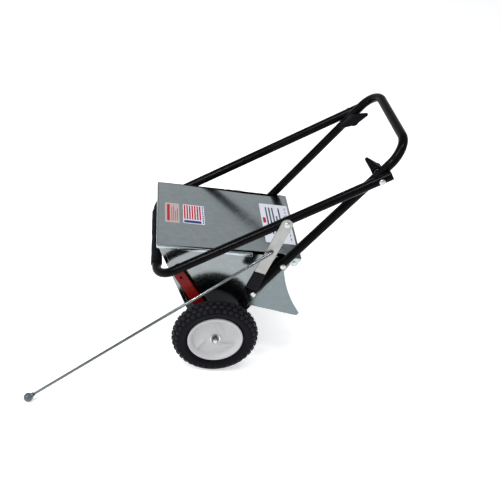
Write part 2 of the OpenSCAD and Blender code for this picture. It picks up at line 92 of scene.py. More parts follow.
class Graph:
    """One material's nodes, built with short calls."""

    def __init__(self, name, sockets):
        self.material = bpy.data.materials.new(name)
        self.material.use_nodes = True
        self.tree = self.material.node_tree
        self.tree.nodes.clear()
        self.shader = self.add("ShaderNodeBsdfPrincipled", sockets)
        output = self.add("ShaderNodeOutputMaterial", {})
        self.tree.links.new(self.shader.outputs[0], output.inputs[0])
        self.place = self.add("ShaderNodeTexCoord", {}).outputs["Object"]
        self.normal = None

    def add(self, kind, sockets, **settings):
        node = self.tree.nodes.new(kind)
        for name, value in settings.items():
            setattr(node, name, value)
        for name, value in sockets.items():
            if isinstance(value, bpy.types.NodeSocket):
                self.tree.links.new(value, node.inputs[name])
            else:
                node.inputs[name].default_value = value
        return node

    def stretched(self, scale):
        return self.add("ShaderNodeMapping", {"Vector": self.place, "Scale": scale}).outputs[0]

    def noise(self, scale, detail=3.0, rough=0.5, warp=0.0, place=None):
        sockets = {"Vector": place or self.place, "Scale": scale, "Detail": detail,
                   "Roughness": rough, "Distortion": warp}
        return self.add("ShaderNodeTexNoise", sockets).outputs["Fac"]

    def cells(self, scale):
        sockets = {"Vector": self.place, "Scale": scale}
        return self.add("ShaderNodeTexVoronoi", sockets).outputs["Color"]

    def span(self, value, low_in, high_in, low, high):
        sockets = {"Value": value, "From Min": low_in, "From Max": high_in,
                   "To Min": low, "To Max": high}
        return self.add("ShaderNodeMapRange", sockets).outputs[0]

    def maths(self, operation, a, b):
        node = self.add("ShaderNodeMath", {}, operation=operation)
        for socket, value in zip(node.inputs, (a, b)):
            if isinstance(value, bpy.types.NodeSocket):
                self.tree.links.new(value, socket)
            else:
                socket.default_value = value
        return node.outputs[0]

    def mix(self, amount, a, b):
        node = self.add("ShaderNodeMix", {}, data_type="RGBA")
        for socket, value in ((node.inputs[0], amount), (node.inputs[6], a), (node.inputs[7], b)):
            if isinstance(value, bpy.types.NodeSocket):
                self.tree.links.new(value, socket)
            elif isinstance(value, tuple):
                socket.default_value = (*value, 1.0)
            else:
                socket.default_value = value
        return node.outputs[2]

    def feed(self, socket, value):
        self.tree.links.new(value, self.shader.inputs[socket])

    def bump(self, height, distance):
        sockets = {"Height": height, "Distance": distance, "Strength": 1.0}
        if self.normal is not None:
            sockets["Normal"] = self.normal
        self.normal = self.add("ShaderNodeBump", sockets).outputs[0]
        self.feed("Normal", self.normal)


def galvanised(name, colour, rough, waviness=0.35, cloud=1.0):
    """Zinc-dipped sheet: crystal spangle, rolling streaks, smudges and slightly wavy metal."""
    g = Graph(name, {"Metallic": 1.0})
    spangle = g.add("ShaderNodeSeparateColor", {"Color": g.cells(75.0)}).outputs[0]
    fine = g.noise(260.0, detail=5.0)
    streak = g.noise(14.0, detail=4.0, place=g.stretched((1.0, 9.0, 9.0)))
    smudge = g.noise(9.0, detail=5.0, warp=0.6)
    darker = tuple(c * 0.80 for c in colour)
    lighter = tuple(min(1.0, c * 1.10) for c in colour)
    shade = g.maths("ADD", g.span(spangle, 0, 1, 0.25, 0.55),
                    g.span(streak, 0.3, 0.7, -0.07 * cloud, 0.07 * cloud))
    shade = g.maths("ADD", shade, g.span(smudge, 0.35, 0.7, -0.12 * cloud, 0.20 * cloud))
    g.feed("Base Color", g.mix(shade, darker, lighter))
    gloss = g.maths("ADD", g.span(smudge, 0.3, 0.75, rough, rough * 1.35),
                    g.span(spangle, 0, 1, 0.0, 0.035))
    g.feed("Roughness", g.maths("ADD", gloss, g.span(fine, 0.3, 0.7, -0.01, 0.02)))
    g.bump(g.noise(7.0, detail=2.0), 0.003 * waviness)
    g.bump(g.noise(38.0, detail=2.0), 0.0004 * waviness)
    return g.material


def zinc(name, colour, rough, along=(1.0, 1.0, 1.0), grain_height=0.00004):
    """Bright plated steel with a faint grain along its length and thin patches in the plating."""
    g = Graph(name, {"Metallic": 1.0})
    grain = g.noise(900.0, detail=3.0, place=g.stretched(along))
    patch = g.noise(30.0, detail=5.0, warp=0.5)
    warm = tuple(c * f for c, f in zip(colour, (0.88, 0.87, 0.84)))
    g.feed("Base Color", g.mix(g.span(patch, 0.42, 0.72, 0.0, 0.75), colour, warm))
    tone = g.maths("ADD", g.span(grain, 0.3, 0.7, -0.05, 0.07), g.span(patch, 0.3, 0.7, rough, rough * 1.35))
    g.feed("Roughness", tone)
    g.bump(grain, grain_height)
    return g.material


def powder_coat(name, colour, rough):
    """Glossy powder coat: orange peel, faint dust and rubbed patches."""
    g = Graph(name, {"IOR": 1.14})
    rub = g.noise(22.0, detail=6.0, warp=0.8)
    dust = g.noise(180.0, detail=4.0)
    dusty = tuple(c + 0.004 for c in colour)
    g.feed("Base Color", g.mix(g.span(rub, 0.50, 0.78, 0.0, 0.8), colour, dusty))
    tone = g.maths("ADD", g.span(rub, 0.35, 0.75, rough, rough + 0.09), g.span(dust, 0.35, 0.7, -0.02, 0.04))
    g.feed("Roughness", tone)
    g.bump(g.noise(620.0, detail=1.0), 0.00002)
    return g.material


def red_paint(name):
    """Dark red gloss paint over steel, with small chips and handling marks."""
    g = Graph(name, {"Specular IOR Level": 0.12, "Coat Weight": 0.04, "Coat Roughness": 0.15})
    chips = g.span(g.noise(95.0, detail=8.0, rough=0.62, warp=0.4), 0.665, 0.69, 0.0, 1.0)
    cloud = g.noise(26.0, detail=5.0, warp=0.6)
    scuff = g.noise(60.0, detail=6.0, place=g.stretched((1.0, 1.0, 6.0)))
    paint = g.mix(g.span(cloud, 0.35, 0.7, 0.0, 1.0), (0.165, 0.0020, 0.0012), (0.110, 0.0017, 0.0012))
    paint = g.mix(g.span(scuff, 0.6, 0.75, 0.0, 0.35), paint, (0.150, 0.014, 0.010))
    g.feed("Base Color", g.mix(chips, paint, (0.16, 0.11, 0.095)))
    g.feed("Metallic", g.span(chips, 0, 1, 0.0, 0.8))
    g.feed("Roughness", g.span(cloud, 0.3, 0.7, 0.26, 0.42))
    g.bump(g.maths("MULTIPLY", chips, -1.0), 0.00012)
    g.bump(g.noise(480.0, detail=1.0), 0.00005)
    return g.material


def plastic(name, colour, rough, worn=0.12, gloss=0.5, ior=1.5):
    """Moulded plastic: fine mould grain, flow marks and a little handling dirt."""
    g = Graph(name, {"Specular IOR Level": gloss, "IOR": ior})
    flow = g.noise(16.0, detail=4.0, warp=1.2)
    dirt = g.noise(70.0, detail=7.0, rough=0.6)
    shade = tuple(c * (1.0 - worn) for c in colour)
    soil = tuple(c * (1.0 - 2.2 * worn) * f for c, f in zip(colour, (1.0, 0.97, 0.92)))
    body = g.mix(g.span(flow, 0.35, 0.7, 0.0, 1.0), colour, shade)
    g.feed("Base Color", g.mix(g.span(dirt, 0.60, 0.78, 0.0, 0.8), body, soil))
    g.feed("Roughness", g.span(dirt, 0.3, 0.75, rough, rough + 0.16))
    g.bump(g.noise(1100.0, detail=2.0), 0.00003)
    return g.material


def rubber(name, colour, rough, pits=0.00009):
    """Moulded rubber with dust in its pores and scuffed high spots."""
    g = Graph(name, {"IOR": 1.16})
    dust = g.noise(38.0, detail=8.0, rough=0.65, warp=0.5)
    pores = g.noise(700.0, detail=3.0)
    dusty = tuple(c * 1.6 + 0.0015 for c in colour)
    g.feed("Base Color", g.mix(g.span(dust, 0.46, 0.78, 0.0, 0.85), colour, dusty))
    g.feed("Roughness", g.span(dust, 0.3, 0.75, rough, rough + 0.2))
    g.bump(pores, pits)
    g.bump(dust, 0.0001)
    return g.material


def label_film(name, colour):
    """Printed vinyl label: slight mottle, a lifted wave and small scratches."""
    g = Graph(name, {"Specular IOR Level": 0.2})
    mottle = g.noise(120.0, detail=4.0)
    scratch = g.noise(85.0, detail=5.0, place=g.stretched((8.0, 1.0, 1.0)))
    worn = tuple(c * 0.85 + 0.006 for c in colour)
    g.feed("Base Color", g.mix(g.span(scratch, 0.55, 0.72, 0.0, 0.7), colour, worn))
    g.feed("Roughness", g.span(mottle, 0.3, 0.7, 0.32, 0.44))
    g.bump(g.noise(30.0, detail=2.0), 0.0003)
    return g.material


MATERIALS = {
    "panel": galvanised("galvanised_panel", (0.235, 0.258, 0.264), 0.115, cloud=0.7),
    "lid": galvanised("galvanised_lid", (0.405, 0.455, 0.472), 0.15, waviness=0.05, cloud=0.35),
    # Painted shade: a darker copy of the lid's zinc for the lid's rounded bend.
    "bend": galvanised("galvanised_bend_painted_shade", (0.190, 0.215, 0.225), 0.33, waviness=0.02, cloud=0.35),
    # Painted shade: a darker copy of the panel zinc for the heel plates.
    "heel": galvanised("galvanised_heel_painted_shade", (0.170, 0.203, 0.212), 0.22, waviness=0.2, cloud=0.5),
    "inside": galvanised("galvanised_inside", (0.56, 0.585, 0.59), 0.42, cloud=0.8),
    # Painted highlight: the rounded edges of the sheets take this lighter copy of the zinc.
    "edge": galvanised("galvanised_edge_painted_highlight", (0.52, 0.545, 0.55), 0.22),
    "zinc": zinc("zinc_hardware", (0.50, 0.505, 0.505), 0.20),
    "bar": zinc("zinc_bar", (0.330, 0.334, 0.328), 0.34, along=(1.0, 1.0, 0.05)),
    # Painted reflection: this zinc is darkened to stand for the dark surroundings that the rod reflects.
    "rod": zinc("zinc_rod_painted_reflection", (0.120, 0.130, 0.134), 0.17, along=(0.05, 0.2, 0.05), grain_height=0.000004),
    "black": powder_coat("powder_coat_black", (0.0010, 0.0009, 0.0014), 0.17),
    "red": red_paint("red_gloss_paint"),
    "plug": plastic("black_plastic", (0.0022, 0.0021, 0.0030), 0.36, ior=1.15),
    "nylon": plastic("black_nylon", (0.010, 0.010, 0.011), 0.48, gloss=0.2),
    "vinyl": rubber("black_vinyl", (0.0022, 0.0020, 0.0032), 0.38),
    "ball": plastic("grey_ball", (0.058, 0.078, 0.092), 0.16),
    "hub": plastic("white_hub", (0.375, 0.378, 0.382), 0.30, worn=0.05, gloss=0.35),
    # Painted shade: the carcass rubber is darker than the tread rubber, darkening the gaps between the
    # blocks.
    "tyre": rubber("tyre_rubber_painted_shade", (0.0018, 0.0016, 0.0034), 0.50),
    "tread": rubber("tread_rubber", (0.0085, 0.0080, 0.0105), 0.36, pits=0.00005),
    "foam": rubber("black_foam", (0.0030, 0.0029, 0.0038), 0.62, pits=0.0003),
    "brass": zinc("turned_brass", (0.70, 0.50, 0.22), 0.24),
    "white_label": label_film("label_white", (0.50, 0.51, 0.57)),
    "red_label": label_film("label_red", (0.30, 0.008, 0.008)),
    "blue_label": label_film("label_blue", (0.012, 0.028, 0.130)),
    "pink_label": label_film("label_pink", (0.33, 0.275, 0.275)),
    "dark_label": label_film("label_dark", (0.035, 0.04, 0.05)),
}


# ---------------------------------------------------------------- mesh helpers

def to_object(name, bm, materials, smooth_angle=38.0):
    """Turns a bmesh into an object with smooth shading up to an angle."""
    bmesh.ops.recalc_face_normals(bm, faces=bm.faces)
    mesh = bpy.data.meshes.new(name)
    bm.to_mesh(mesh)
    bm.free()
    for material in materials:
        mesh.materials.append(MATERIALS[material])
    mesh.shade_smooth()
    mesh.set_sharp_from_angle(angle=math.radians(smooth_angle))
    ob = bpy.data.objects.new(name, mesh)
    bpy.context.scene.collection.objects.link(ob)
    return ob


def adopt(ob, *nodes, body=None, slot=None):
    """The piece stands for CAD nodes, or rides on a body beside them."""
    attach(ob, body or NODE_BODY[nodes[0]])
    if nodes:
        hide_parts(*nodes)
    return ob


def weighted(ob):
    """Shades the flats evenly up to their rounded edges."""
    modifier = ob.modifiers.new("even_flats", "WEIGHTED_NORMAL")
    modifier.keep_sharp = True
    return ob


def cad_copy(node):
    """The mesh of a CAD node, in place in the frame."""
    bm = bmesh.new()
    bm.from_mesh(frame["nodes"][node].data)
    bm.transform(frame["nodes"][node].matrix_world)
    bmesh.ops.remove_doubles(bm, verts=bm.verts, dist=WELD)
    return bm


def bevel(bm, edges, width, segments, **settings):
    bmesh.ops.bevel(bm, geom=edges, offset=width, offset_type="OFFSET", segments=segments,
                    profile=0.6, affect="EDGES", **settings)


def rounded_copy(node, width, materials, segments=2, inside=None):
    """A copy of a CAD node with its sharp edges rounded, the roundings in the second material.

    Large faces that look towards the point inside, where one is given, take the last material."""
    bm = cad_copy(node)
    large = 4e-4
    bmesh.ops.dissolve_limit(bm, angle_limit=math.radians(0.5), verts=bm.verts, edges=bm.edges)
    bm.normal_update()
    last = len(materials) - 1
    for face in bm.faces:
        face.material_index = 0
        if inside is not None and face.calc_area() > large:
            inward = (inside - face.calc_center_median()).normalized()
            if face.normal.dot(inward) > 0.2:
                face.material_index = last
    sharp = [e for e in bm.edges if len(e.link_faces) == 2 and e.calc_face_angle(0.0) > SHARP]
    bevel(bm, sharp, width, segments, clamp_overlap=False, material=min(1, last))
    ob = to_object(node + "_piece", bm, materials)
    return adopt(weighted(ob), node)


def grid_faces(bm, rows):
    """Joins rings of vertices into quads."""
    for low, high in zip(rows, rows[1:]):
        count = len(low)
        for i in range(count):
            j = (i + 1) % count
            bm.faces.new((low[i], low[j], high[j], high[i]))


def cap_ends(bm, rows):
    bm.faces.new(rows[0])
    bm.faces.new(list(reversed(rows[-1])))


def axes_about(axis):
    """The axis as a unit vector, and two directions at right angles to it."""
    axis = axis.normalized()
    side = axis.orthogonal().normalized()
    return axis, side, axis.cross(side)


def ring(bm, centre, axis_a, axis_b, radius, count):
    """A circle of vertices in the plane of two axes."""
    turn = 2 * math.pi / count
    return [bm.verts.new(centre + radius * (math.cos(i * turn) * axis_a + math.sin(i * turn) * axis_b))
            for i in range(count)]


def lathe(bm, centre, axis, profile, count=64):
    """Turns a profile of (along, radius) about an axis and caps both ends."""
    axis, side, other = axes_about(axis)
    rows = [ring(bm, centre + axis * along, side, other, max(radius, 1e-5), count)
            for along, radius in profile]
    grid_faces(bm, rows)
    cap_ends(bm, rows)


def sweep(bm, path, radius, count):
    """A round bar along a path, with slightly rounded ends."""
    rows = []
    tip_r = radius * 0.72
    tip_l = radius * 0.28
    side = (path[1] - path[0]).orthogonal().normalized()
    last = len(path) - 1
    for i, point in enumerate(path):
        along = (path[min(i + 1, last)] - path[max(i - 1, 0)]).normalized()
        side = (side - along * side.dot(along)).normalized()
        other = along.cross(side)
        if i == 0:
            rows.append(ring(bm, point, side, other, tip_r, count))
            rows.append(ring(bm, point + along * tip_l, side, other, radius, count))
        elif i == last:
            rows.append(ring(bm, point - along * tip_l, side, other, radius, count))
            rows.append(ring(bm, point, side, other, tip_r, count))
        else:
            rows.append(ring(bm, point, side, other, radius, count))
    grid_faces(bm, rows)
    bm.faces.new(list(reversed(rows[0])))
    bm.faces.new(rows[-1])


def rounded_corner(a, corner, b, radius, steps=10):
    """Points of an arc that rounds the corner of the path a, corner, b."""
    to_a = (a - corner).normalized()
    to_b = (b - corner).normalized()
    half = to_a.angle(to_b) / 2
    reach = radius / math.tan(half)
    centre = corner + (to_a + to_b).normalized() * radius / math.sin(half)
    start = (corner + to_a * reach - centre).normalized()
    end = (corner + to_b * reach - centre).normalized()
    return [centre + radius * start.slerp(end, i / steps).normalized() for i in range(steps + 1)]


def smooth_step(x):
    """Rises smoothly from 0 to 1 as x does."""
    x = min(1.0, max(0.0, x))
    return x * x * (3 - 2 * x)


def threaded(bm, centre, axis, length, radius, pitch, count=28):
    """A threaded stud: the surface dips along a helix, with a chamfered tip."""
    axis, side, other = axes_about(axis)
    depth = 0.55 * pitch
    steps = max(6, int(length / pitch * 6))
    rows = []
    for k in range(steps + 1):
        along = length * k / steps
        tip = min(1.0, (length - along) / pitch + 0.35)
        row = []
        for i in range(count):
            angle = 2 * math.pi * i / count
            wave = abs(((along / pitch - i / count) % 1.0) * 2 - 1)
            r = (radius - depth * wave) * (0.82 + 0.18 * tip)
            row.append(bm.verts.new(centre + axis * along
                                    + r * (math.cos(angle) * side + math.sin(angle) * other)))
        rows.append(row)
    grid_faces(bm, rows)
    cap_ends(bm, rows)


def hex_nut(bm, centre, axis, flats, height, bore):
    """A hexagon nut with chamfered corners on both faces and an open bore."""
    axis, side, other = axes_about(axis)
    count = 48
    corner = flats / math.sqrt(3)
    chamfered = flats / 2 * 0.97
    low, high = height * 0.1, height * 0.9

    def hex_radius(i):
        a = (2 * math.pi * i / count + math.pi / 6) % (math.pi / 3) - math.pi / 6
        return flats / 2 / math.cos(a)

    rows = []
    for along, limit in ((0.0, chamfered), (low, corner), (high, corner), (height, chamfered)):
        row = []
        for i in range(count):
            angle = 2 * math.pi * i / count
            r = min(hex_radius(i), limit)
            row.append(bm.verts.new(centre + axis * along
                                    + r * (math.cos(angle) * side + math.sin(angle) * other)))
        rows.append(row)
    for along, r in ((height, bore * 1.12), (high, bore), (low, bore), (0.0, bore * 1.12)):
        rows.append(ring(bm, centre + axis * along, side, other, r, count))
    rows.append(rows[0])
    grid_faces(bm, rows)


def dome_head(bm, centre, axis, radius, height):
    """The domed head of a carriage bolt, with a thin rim."""
    steps = 9
    profile = [(0.0, radius * 0.97), (height * 0.14, radius)]
    for k in range(1, steps + 1):
        t = k / steps * math.pi / 2
        profile.append((height * (0.14 + 0.86 * math.sin(t)), radius * math.cos(t) ** 0.85))
    lathe(bm, centre, axis, profile, 40)


# ---------------------------------------------------------------- hopper

def hopper_sheets():
    """Sheet parts with rounded edges; the hopper's walls are duller inside."""
    width = 0.35 * MM
    hollow = Vector((0, 0, 170 * MM))
    # The roundings of these sheets take the lighter edge zinc, a painted highlight along every rounded edge.
    for node in ("front_panel", "rear_panel", "left_side_plate", "right_side_plate", "bottom_plate"):
        rounded_copy(node, width, ("panel", "edge", "inside"), inside=hollow)
    for node in ("shutter_guides", "shutter_plate", "shutter_yoke"):
        rounded_copy(node, width, ("panel", "edge"))
    # The heel plates take the darker heel zinc, painted shade on the heel plates.
    for node in ("left_heel_plate", "right_heel_plate"):
        rounded_copy(node, width, ("heel", "edge"))


def lid_outline():
    """The lid's outline from above with rounded corners, and where its notches start and end."""
    step = 9 * MM
    notch_x0, notch_x1 = 70 * MM, 186 * MM
    deep = 13 * MM
    half = LID_HIGH.y
    corners = [
        (LID_LOW.x, -half, 5.0), (notch_x0, -half, 2.0), (notch_x0, -half + deep, 3.0),
        (notch_x1, -half + deep, 3.0), (notch_x1, -half, 2.0), (LID_HIGH.x, -half, 5.0),
        (LID_HIGH.x, half, 5.0), (notch_x1, half, 2.0), (notch_x1, half - deep, 3.0),
        (notch_x0, half - deep, 3.0), (notch_x0, half, 2.0), (LID_LOW.x, half, 5.0)]
    points = []
    for i, (x, y, r) in enumerate(corners):
        here = Vector((x, y, 0))
        before = Vector((*corners[i - 1][:2], 0))
        after = Vector((*corners[(i + 1) % len(corners)][:2], 0))
        points += rounded_corner(before, here, after, r * MM, 4)
    dense = []
    for a, b in zip(points, points[1:] + points[:1]):
        parts = max(1, int((b - a).length / step))
        dense += [a.lerp(b, k / parts) for k in range(parts)]
    return dense, notch_x0, notch_x1


def lid_piece():
    """Folded sheet lid: a rounded bend and a lip all round, except at the notches."""
    outline, notch_x0, notch_x1 = lid_outline()
    top = LID_HIGH.z
    bend = 3.0 * MM
    lip = 10 * MM
    fade = 2 * MM
    count = len(outline)
    bm = bmesh.new()
    rows = []
    normals = []
    for i, p in enumerate(outline):
        along = (outline[(i + 1) % count] - outline[i - 1]).normalized()
        normals.append(Vector((along.y, -along.x, 0)))

    def lip_depth(p):
        in_notch = smooth_step((p.x - notch_x0 + fade / 2) / fade) \
            * smooth_step((notch_x1 + fade / 2 - p.x) / fade)
        return lip - (lip - bend * 0.55) * in_notch

    arc = 5
    for k in range(arc + 1):
        t = k / arc * math.pi / 2
        z = top - bend * (1 - math.cos(t))
        rows.append([bm.verts.new(p - n * bend * (1 - math.sin(t)) + ALONG_Z * z)
                     for p, n in zip(outline, normals)])
    rows.append([bm.verts.new(p + ALONG_Z * (top - max(lip_depth(p), bend * 1.05)))
                 for p in outline])
    grid_faces(bm, rows)
    # Faces on the rounded bend take the darker bend zinc, painted shade along the bend.
    for face in bm.faces:
        if face.calc_center_median().z > top - bend:
            face.material_index = 1
    lid_top = bm.faces.new(rows[0])
    bmesh.ops.triangulate(bm, faces=[lid_top], quad_method="BEAUTY", ngon_method="EAR_CLIP")
    ob = to_object("lid_piece", bm, ["lid", "bend"])
    thick = ob.modifiers.new("sheet", "SOLIDIFY")
    thick.thickness = SHEET
    thick.offset = -1.0
    weighted(ob)
    adopt(ob, "lid")
    for side in (-1, 1):
        lid_ear(side)


def lid_ear(side):
    """Hinge tab at a rear corner of the lid, hanging from the rear of its side lip."""
    hinge = joint_place("lid_hinge")
    r = 11.6 * MM
    top = LID_HIGH.z - 1.2 * MM
    fore, rear = 188.5 * MM, LID_HIGH.x - 2.6 * MM
    lip = 8.5 * MM
    steps, turn = 16, math.radians(190.8)
    outline = [(rear, top), (fore, top)]
    for k in range(steps + 1):
        a = math.pi + k / steps * turn
        outline.append((hinge.x + r * math.cos(a), hinge.z + r * math.sin(a)))
    outline.append((rear, top - lip))
    y_out = side * (LID_HIGH.y - 0.1 * MM)
    y_in = side * (LID_HIGH.y - SHEET)
    bm = bmesh.new()
    outer = [bm.verts.new((x, y_out, z)) for x, z in outline]
    inner = [bm.verts.new((x, y_in, z)) for x, z in outline]
    grid_faces(bm, [outer, inner])
    cap_ends(bm, [outer, inner])
    bmesh.ops.recalc_face_normals(bm, faces=bm.faces)
    sharp = [e for e in bm.edges if e.calc_face_angle(0.0) > 1.0]
    bevel(bm, sharp, 0.3 * MM, 2, clamp_overlap=True)
    ob = to_object("lid_ear_left" if side < 0 else "lid_ear_right", bm, ["lid"])
    adopt(weighted(ob), body="lid", slot="galvanised")


def patch(name, outline, height, material):
    """A thin printed shape on the lid, from points (x, y) in millimetres."""
    bm = bmesh.new()
    z = LID_HIGH.z + height
    thick = 0.06 * MM
    top = [bm.verts.new((x * MM, y * MM, z + thick)) for x, y in outline]
    low = [bm.verts.new((x * MM, y * MM, z)) for x, y in outline]
    grid_faces(bm, [low, top])
    bm.faces.new(top)
    bm.faces.new(list(reversed(low)))
    ob = to_object(name, bm, [material])
    adopt(ob, body="lid", slot="galvanised")


def rounded_rectangle(x0, y0, x1, y1, r=3.0):
    """Outline of a rectangle with rounded corners, in the units it is given in."""
    corners = ((x1 - r, y1 - r), (x0 + r, y1 - r), (x0 + r, y0 + r), (x1 - r, y0 + r))
    points = []
    for quarter, (cx, cy) in enumerate(corners):
        for k in range(6):
            a = math.radians(90 * quarter + 18 * k)
            points.append((cx + r * math.cos(a), cy + r * math.sin(a)))
    return points


def bars(name, spans, half, radius, height, material):
    """Narrow bars across the lid, from (x, y0, y1) in millimetres."""
    for i, (x, y0, y1) in enumerate(spans):
        patch(f"{name}_{i}", rounded_rectangle(x - half, y0, x + half, y1, radius), height, material)


def labels():
    """Three plain labels on the lid, with bars and blocks in place of any print."""
    film, ink = 0.02 * MM, 0.10 * MM
    patch("label_film", rounded_rectangle(-177, -50, -135, 52), film, "pink_label")
    patch("label_film_bar", rounded_rectangle(-171, -42, -163, 44, 1.0), ink, "red_label")
    lines = ((-157, -40, 30), (-151.5, -40, 38), (-146, -40, 14), (-140.5, -40, 26))
    bars("label_film_line", lines, 0.9, 0.5, ink, "red_label")
    patch("label_striped", rounded_rectangle(-124, -47, -61, 51), film, "white_label")
    stripes = [(-119 + 7.6 * i, -26, 48) for i in range(7)]
    bars("label_stripe", stripes, 2.3, 0.6, ink, "red_label")
    patch("label_band", rounded_rectangle(-121.5, -44, -71, -31, 1.0), ink, "blue_label")
    dashes = [(-65.3, -42 + 11.4 * i, -34.4 + 11.4 * i) for i in range(8)]
    bars("label_column", dashes, 1.9, 0.5, ink, "blue_label")
    patch("label_white", rounded_rectangle(114, -102, 203, 103), film, "white_label")
    lines = ((133, -58, 84), (143, -58, 84), (153, -58, 84), (163, -58, 40), (173, -58, 84))
    bars("label_bar", lines, 2.3, 0.8, ink, "dark_label")
    patch("label_red_block", rounded_rectangle(118, -2, 127, 26, 1.0), ink, "red_label")
    ticks = [(193.25, -84 + 20 * i, -72 + 20 * i) for i in range(9)]
    bars("label_tick", ticks, 1.25, 0.8, ink, "dark_label")


# ---------------------------------------------------------------- wheels

def tyre_piece(side, node):
    """Knobbly tyre: a carcass with sidewall rings, and staggered rows of tread blocks."""
    centre = Vector((AXLE.x, side * WHEEL_Y, AXLE.z))
    core_r = TYRE_R - TYRE_HALF
    wall = TYRE_HALF - 0.9 * MM
    crown = TYRE_HALF - 4.2 * MM
    bead_r = 80.8 * MM
    bm = bmesh.new()
    around = 144

    def at(angle, r, y):
        return centre + Vector((r * math.cos(angle), y, r * math.sin(angle)))

    def carcass(phi):
        """Point of the carcass outline; phi is 0 at the crown and grows towards a bead."""
        return core_r + crown * math.cos(phi), wall * math.sin(phi)

    def ridge(degrees, place, width, height):
        return math.exp(-((degrees - place) / width) ** 2) * height

    profile = []
    for k in range(-26, 27):
        degrees = k * 5.2
        r, y = carcass(math.radians(degrees))
        rib = ridge(abs(degrees), 84, 3.2, 0.8 * MM) + ridge(abs(degrees), 108, 3.0, 0.7 * MM)
        profile.append((max(r, bead_r), y + math.copysign(rib, y)))
    foot_r = bead_r - 0.3 * MM
    profile = [(foot_r, profile[0][1] * 0.9)] + profile + [(foot_r, profile[-1][1] * 0.9)]
    rows = [[bm.verts.new(at(2 * math.pi * i / around, r, y)) for i in range(around)]
            for r, y in profile]
    rows.append(rows[0])
    grid_faces(bm, rows)

    def block(angle, phi, half_turn, half_phi, lift):
        """One tread block: a domed pad standing on the carcass."""
        cut = 0.55
        corners = ((-1, -cut), (-cut, -1), (cut, -1), (1, -cut), (1, cut), (cut, 1), (-cut, 1), (-1, cut))
        levels = []
        for depth, shrink in ((-1.2 * MM, 1.10), (lift * 0.55, 1.0), (lift * 0.88, 0.86), (lift, 0.58)):
            level = []
            for a, b in corners:
                p = phi + b * half_phi * shrink
                r, y = carcass(p)
                place = at(angle + a * half_turn * shrink, r + math.cos(p) * depth, y + math.sin(p) * depth)
                level.append(bm.verts.new(place))
            levels.append(level)
        grid_faces(bm, levels)
        bm.faces.new(levels[-1])
        bm.faces.new(list(reversed(levels[0])))

    carcass_faces = len(bm.faces)
    count = 38
    pitch = 2 * math.pi / count
    middle, shoulder = 29, 58
    lifts = ((0, 4.2), (middle, 4.2), (-middle, 4.2), (shoulder, 3.6), (-shoulder, 3.6))
    half_turn, half_phi = pitch * 0.33, math.radians(11.8)
    for i in range(count):
        for degrees, lift in lifts:
            shift = pitch / 2 if abs(degrees) == middle else 0.0
            block(i * pitch + shift, math.radians(degrees), half_turn, half_phi, lift * MM)
    # Blocks take the lighter tread rubber; the carcass, sidewalls included, keeps the darker rubber as
    # painted shade between the blocks.
    bm.faces.ensure_lookup_table()
    for face in bm.faces[carcass_faces:]:
        face.material_index = 1
    adopt(to_object(node + "_piece", bm, ["tyre", "tread"], smooth_angle=62), node)


